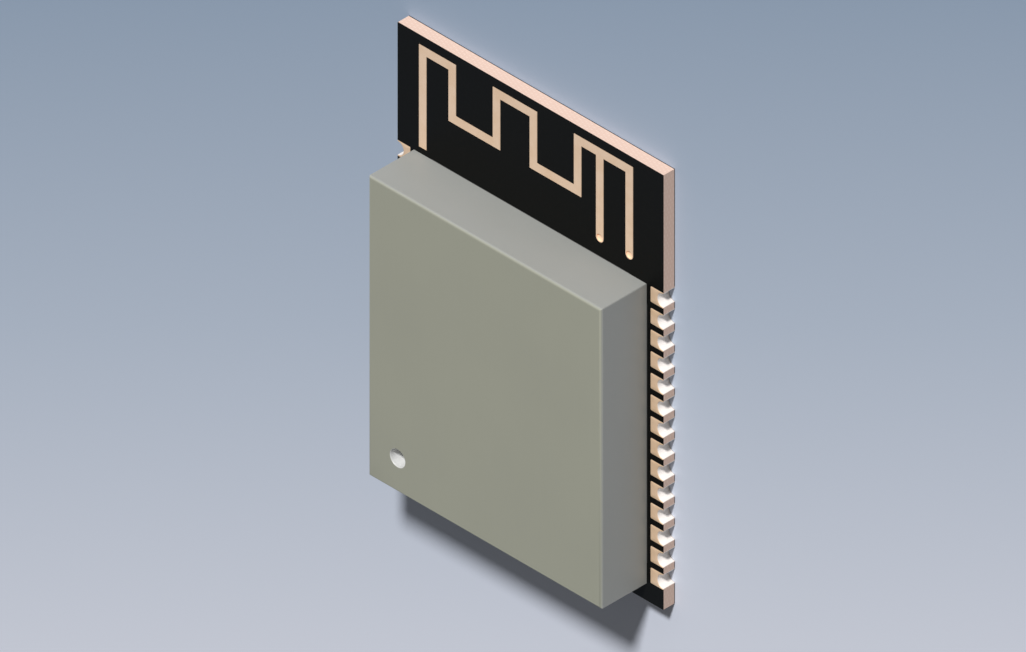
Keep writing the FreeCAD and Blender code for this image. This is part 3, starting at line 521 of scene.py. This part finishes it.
def rolled_sheet():
    """Nickel-silver sheet: satin, with fine rolling lines along the board and a faint cloudiness.

    The lid is tinted olive and the walls greyer, a painted tint of the light on the top face. The
    dimple's drawn wall is smoother and painted near white, a painted highlight.
    """
    finish = Finish("rolled_nickel_silver")
    lines = finish.noise(9, 0.25, 9, 3.0)
    clouds = finish.noise(0.16, 0.16, 0.3, 3.0)
    # The lid down to its bends, which takes the painted olive tint
    lid = finish.z.ramp(CAN_HIGH.z - BEND_RADIUS, CAN_HIGH.z)
    off_centre = finish.off_axis(DIMPLE_CENTRE)
    mouth = off_centre.ramp(DIMPLE_RADIUS, DIMPLE_RADIUS + DIMPLE_MOUTH)
    # The dimple's drawn wall: painted near white as a painted highlight, and made smoother
    drawn = (1 - mouth) * off_centre.ramp(DIMPLE_RADIUS - 2 * DIMPLE_FLOOR_BEND,
                                          DIMPLE_RADIUS - DIMPLE_FLOOR_BEND)
    metal = finish.mix(lid, colour(*WALL_TONE), colour(*LID_PAINTED_TINT))
    worn = finish.mix((clouds - 0.35) * 0.4, metal, colour(*WORN_TONE))
    tone = finish.mix(lines * 0.14, worn, colour(*ROLLED_TONE))
    bright = finish.mix(drawn, tone, colour(*DIMPLE_HIGHLIGHT_TONE))
    rough = 0.52 + (lines - 0.5) * 0.16 + (clouds - 0.5) * 0.08 - drawn * 0.2
    return finish.surface(Base_Color=bright, Metallic=0.06, Roughness=rough,
                          Normal=finish.bump(lines, 0.0016 * MM))


def plated_copper(name, tone, dull, hole_highlight, roughness):
    """Gold-flashed copper: a fine matte grain, an uneven tone, hole walls with a painted highlight.
    """
    finish = Finish(name)
    grain = finish.noise(30, 30, 30, 2.0)
    patches = finish.noise(1.2, 1.2, 1.2, 3.0)
    land = finish.mix(patches.ramp(0.35, 0.7), colour(*tone), colour(*dull))
    half_wall = BOARD_HIGH.z - BOARD_MIDDLE
    wall = 1 - abs(finish.z - BOARD_MIDDLE).ramp(half_wall, half_wall + COPPER / 2)
    # Painted highlight: the hole walls take their own paler colour
    shade = finish.mix(wall, land, colour(*hole_highlight))
    rough = roughness + (patches - 0.5) * 0.12 + (grain - 0.5) * 0.1 - wall * 0.1
    return finish.surface(Base_Color=shade, Metallic=0.28 - wall * 0.2, Roughness=rough,
                          Normal=finish.bump(grain, 0.0012 * MM))


def black_mask():
    """Black solder mask: a thin lacquer with a low gloss and a soft orange peel."""
    finish = Finish("black_solder_mask")
    peel = finish.noise(5, 5, 5, 2.0)
    specks = finish.noise(40, 40, 40, 1.0)
    shade = finish.mix(specks, colour(9, 9, 8), colour(14, 14, 12))
    return finish.surface(Base_Color=shade, Roughness=0.5 + (peel - 0.5) * 0.12,
                          Specular_IOR_Level=0.08, Normal=finish.bump(peel, 0.002 * MM))


# The laminate's plies of woven glass and the yarns in them
PLY = 0.1 * MM
YARN = 0.5 * MM


def glass_laminate():
    """Glass-fibre board: pinkish resin, with the plies of woven glass showing at the cut edges.

    The cut ends of the yarns stand in rows, one row to a ply, and the next row fills in between.
    Its faces, seen only in the fine gaps round the lands, are painted near black: painted shade.
    """
    finish = Finish("glass_laminate")
    wobble = finish.noise(1.1, 1.1, 1.1, 2.0)
    along = (finish.x + finish.y) * (2 * math.pi / YARN) + wobble * 6
    level = finish.z * (math.pi / PLY) + wobble * 3
    ply = level.maths("SINE", level)
    ends = (along.maths("SINE", along) * ply).ramp(0.3, 0.75)
    seams = 1 - abs(ply).ramp(0.05, 0.4)
    fibres = finish.noise(16, 16, 40, 2.0)
    resin = finish.mix(fibres, colour(229, 198, 181), colour(239, 208, 192))
    yarns = finish.mix(ends * 0.5, resin, colour(246, 222, 208))
    cut = finish.mix(seams * 0.45, yarns, colour(214, 180, 160))
    half_core = BOARD_HIGH.z - BOARD_MIDDLE
    # Painted shade: the faces at the bottom of the gaps round the lands
    gap_shade = abs(finish.z - BOARD_MIDDLE).ramp(half_core - COPPER / 4, half_core)
    shade = finish.mix(gap_shade, cut, colour(30, 27, 24))
    return finish.surface(Base_Color=shade, Roughness=0.62 + (fibres - 0.5) * 0.2,
                          Specular_IOR_Level=0.3,
                          Normal=finish.bump(ends * 0.5 - seams * 0.5 + fibres * 0.3, 0.003 * MM))


def dress_nodes(finish, *names):
    """Gives CAD nodes a finish in place of their plain colour."""
    for name in names:
        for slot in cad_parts[name].material_slots:
            slot.material = finish


def plain_finish(name, light, dark, grain, roughness, metallic=0.0):
    """A plain finish with a fine grain between two tones, for the parts inside the can."""
    finish = Finish(name)
    speckle = finish.noise(grain, grain, grain, 3.0)
    return finish.surface(Base_Color=finish.mix(speckle, colour(*dark), colour(*light)),
                          Metallic=metallic, Roughness=roughness + (speckle - 0.5) * 0.15,
                          Normal=finish.bump(speckle, 0.002 * MM))


# Two-terminal parts, whose ceramic core is tinned at both ends
CHIP_LENGTH = 1.0 * MM
CHIP_TERMINAL = 0.25 * MM
TERMINAL_BLEND = 0.02 * MM


def chip_finish(node, axis, count, light, dark):
    """A ceramic core between tinned ends, for a row of two-terminal parts along an axis."""
    low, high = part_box(node)
    finish = Finish(node + "_ceramic")
    along = {"x": finish.x, "y": finish.y}[axis]
    first = getattr(low, axis) + CHIP_LENGTH / 2
    last = getattr(high, axis) - CHIP_LENGTH / 2
    pitch = max(last - first, CHIP_LENGTH) / max(count - 1, 1)
    steps = (along - first) / pitch
    from_middle = abs(steps - steps.whole()) * pitch
    edge = CHIP_LENGTH / 2 - CHIP_TERMINAL
    end = from_middle.ramp(edge, edge + TERMINAL_BLEND)
    speckle = finish.noise(30, 30, 30, 3.0)
    core = finish.mix(speckle, colour(*dark), colour(*light))
    tin = finish.mix(speckle, colour(184, 184, 182), colour(208, 208, 206))
    return finish.surface(Base_Color=finish.mix(end, core, tin), Metallic=end * 0.9,
                          Roughness=0.5 - end * 0.15 + (speckle - 0.5) * 0.15,
                          Normal=finish.bump(speckle, 0.002 * MM))


# Camera, light and floor

CAMERA_RIGHT = Vector((1, 0, -1)).normalized()
CAMERA_UP = Vector((-1, 2, -1)).normalized()
CAMERA_BACK = Vector((1, 1, 1)).normalized()
# The photograph is an isometric drawing of 1026 by 652 pixels: its size in the picture plane,
# and where its middle lies
PHOTO_WIDTH = 49.18 * MM
PHOTO_HEIGHT = PHOTO_WIDTH * 652 / 1026
MIDDLE_RIGHT = -1.395 * MM
MIDDLE_UP = -0.80 * MM
CAMERA_DISTANCE = 120 * MM
CAMERA_NEAREST = MM
CAMERA_FARTHEST = 1000 * MM


def add_camera():
    """Looks along the diagonal of the axes, without perspective, the antenna end upwards."""
    data = bpy.data.cameras.new("isometric_camera")
    data.type = "ORTHO"
    data.ortho_scale = PHOTO_WIDTH
    data.clip_start = CAMERA_NEAREST
    data.clip_end = CAMERA_FARTHEST
    camera = bpy.data.objects.new("isometric_camera", data)
    turned = Matrix((CAMERA_RIGHT, CAMERA_UP, CAMERA_BACK)).transposed().to_4x4()
    middle = MIDDLE_RIGHT * CAMERA_RIGHT + MIDDLE_UP * CAMERA_UP
    camera.matrix_world = Matrix.Translation(middle + CAMERA_DISTANCE * CAMERA_BACK) @ turned
    bpy.context.scene.collection.objects.link(camera)
    bpy.context.scene.camera = camera


# How strongly the lamp lights a face that looks along each axis, where 1 shows a colour as written
LAMP_REACH = Vector((0.28, 0.90, 0.64))
LAMP_WIDTH = math.radians(8)
SKY_LEVEL = 0.13
# Screen colours of the backdrop at the top, the middle and the foot of the picture
BACKDROP = ((137, 152, 171), (165, 175, 190), (194, 198, 209))


def add_lamp():
    """A soft lamp behind the antenna end, about two thirds as high as it is far."""
    data = bpy.data.lights.new("studio_lamp", "SUN")
    data.energy = math.pi * LAMP_REACH.length
    data.angle = LAMP_WIDTH
    lamp = bpy.data.objects.new("studio_lamp", data)
    lamp.rotation_mode = "QUATERNION"
    lamp.rotation_quaternion = LAMP_REACH.to_track_quat("Z", "Y")
    bpy.context.scene.collection.objects.link(lamp)


def add_sky():
    """A plain even sky, which shows as the backdrop's middle tone."""
    sky = Maker(bpy.data.worlds.new("sky"))
    shade = sky.mix(sky.shown(), (SKY_LEVEL, SKY_LEVEL, SKY_LEVEL, 1.0), colour(*BACKDROP[1]))
    glow = sky.node("ShaderNodeBackground", {}, {"Color": shade})
    sky.node("ShaderNodeOutputWorld", {}, {"Surface": glow.outputs[0]})
    bpy.context.scene.world = sky.owner


FLOOR_SIZE = 600 * MM
FLOOR_DROP = 0.002 * MM
# The floor's screen colour for the light that it throws back on the module
FLOOR_GLOW = (158, 162, 168)


def add_floor():
    """A plain pale floor, a little darker towards the top of the picture."""
    bpy.ops.object.select_all(action="DESELECT")
    bpy.ops.mesh.primitive_plane_add(size=FLOOR_SIZE, location=(0, 0, -FLOOR_DROP))
    floor = bpy.context.object
    floor.name = "studio_floor"
    finish = Finish("studio_floor")
    upwards = finish.x * CAMERA_UP.x + finish.y * CAMERA_UP.y
    rise = upwards.ramp(MIDDLE_UP - PHOTO_HEIGHT / 2, MIDDLE_UP + PHOTO_HEIGHT / 2, "LINEAR")
    light = LAMP_REACH.z + SKY_LEVEL
    top, middle, foot = ([level / light for level in colour(*tone)[:3]] + [1.0]
                         for tone in BACKDROP)
    lower = finish.mix(rise.ramp(0, 0.5, "LINEAR"), foot, middle)
    seen = finish.mix(rise.ramp(0.5, 1, "LINEAR"), lower, top)
    shade = finish.mix(finish.shown(), colour(*FLOOR_GLOW), seen)
    floor.data.materials.append(finish.surface(Base_Color=shade, Roughness=0.9,
                                               Specular_IOR_Level=0.1))


COPPER_ROUGHNESS = 0.45
CAPACITOR_TONES = ((168, 128, 96), (146, 106, 78))

# The third colour is for the hole walls; the pads' near-white one is a painted highlight
pad_gold = plated_copper("pad_gold", (248, 214, 180), (240, 205, 168), (255, 247, 240),
                         COPPER_ROUGHNESS)
antenna_gold = plated_copper("antenna_gold", (255, 221, 189), (249, 213, 178), (255, 221, 189),
                             COPPER_ROUGHNESS)

finish_piece(model_shield_can(), rolled_sheet(), "shield_sheet", "shield_can")
place_pads(model_pad(), pad_gold)
for via in ("antenna_feed_via", "antenna_ground_via"):
    finish_piece(model_leg_via(via), antenna_gold, "antenna_copper", via)
dress_nodes(black_mask(), "solder_mask_top", "solder_mask_underside")
dress_nodes(glass_laminate(), "board_laminate")
dress_nodes(antenna_gold, "antenna_trace")
dress_nodes(pad_gold, "ground_pad", "thermal_vias", "component_lands", "radio_chip_lands")
dress_nodes(plain_finish("dull_solder", (118, 119, 118), (96, 97, 96), 12, 0.5, 0.5),
            "shield_lands")
dress_nodes(plain_finish("mould_compound", (48, 48, 50), (30, 30, 32), 20, 0.6),
            "radio_chip_body", "flash_chip_body")
dress_nodes(plain_finish("tinned_leads", (205, 205, 203), (180, 180, 178), 12, 0.35, 0.9),
            "radio_chip_leads", "flash_chip_leads")
dress_nodes(plain_finish("crystal_lid", (206, 200, 188), (188, 182, 170), 4, 0.3, 0.9),
            "crystal_lid")
dress_nodes(plain_finish("crystal_ceramic", (92, 88, 84), (74, 70, 66), 25, 0.5), "crystal_base")
for capacitors in ("decoupling_capacitors", "load_capacitors"):
    dress_nodes(chip_finish(capacitors, "y", 1, *CAPACITOR_TONES), capacitors)
dress_nodes(chip_finish("matching_inductors", "x", 3, (210, 214, 220), (188, 192, 200)),
            "matching_inductors")
dress_nodes(chip_finish("pull_up_resistors", "x", 1, (40, 40, 44), (26, 26, 30)),
            "pull_up_resistors")

bpy.context.scene.view_settings.view_transform = "Standard"
add_camera()
add_sky()
add_lamp()
add_floor()
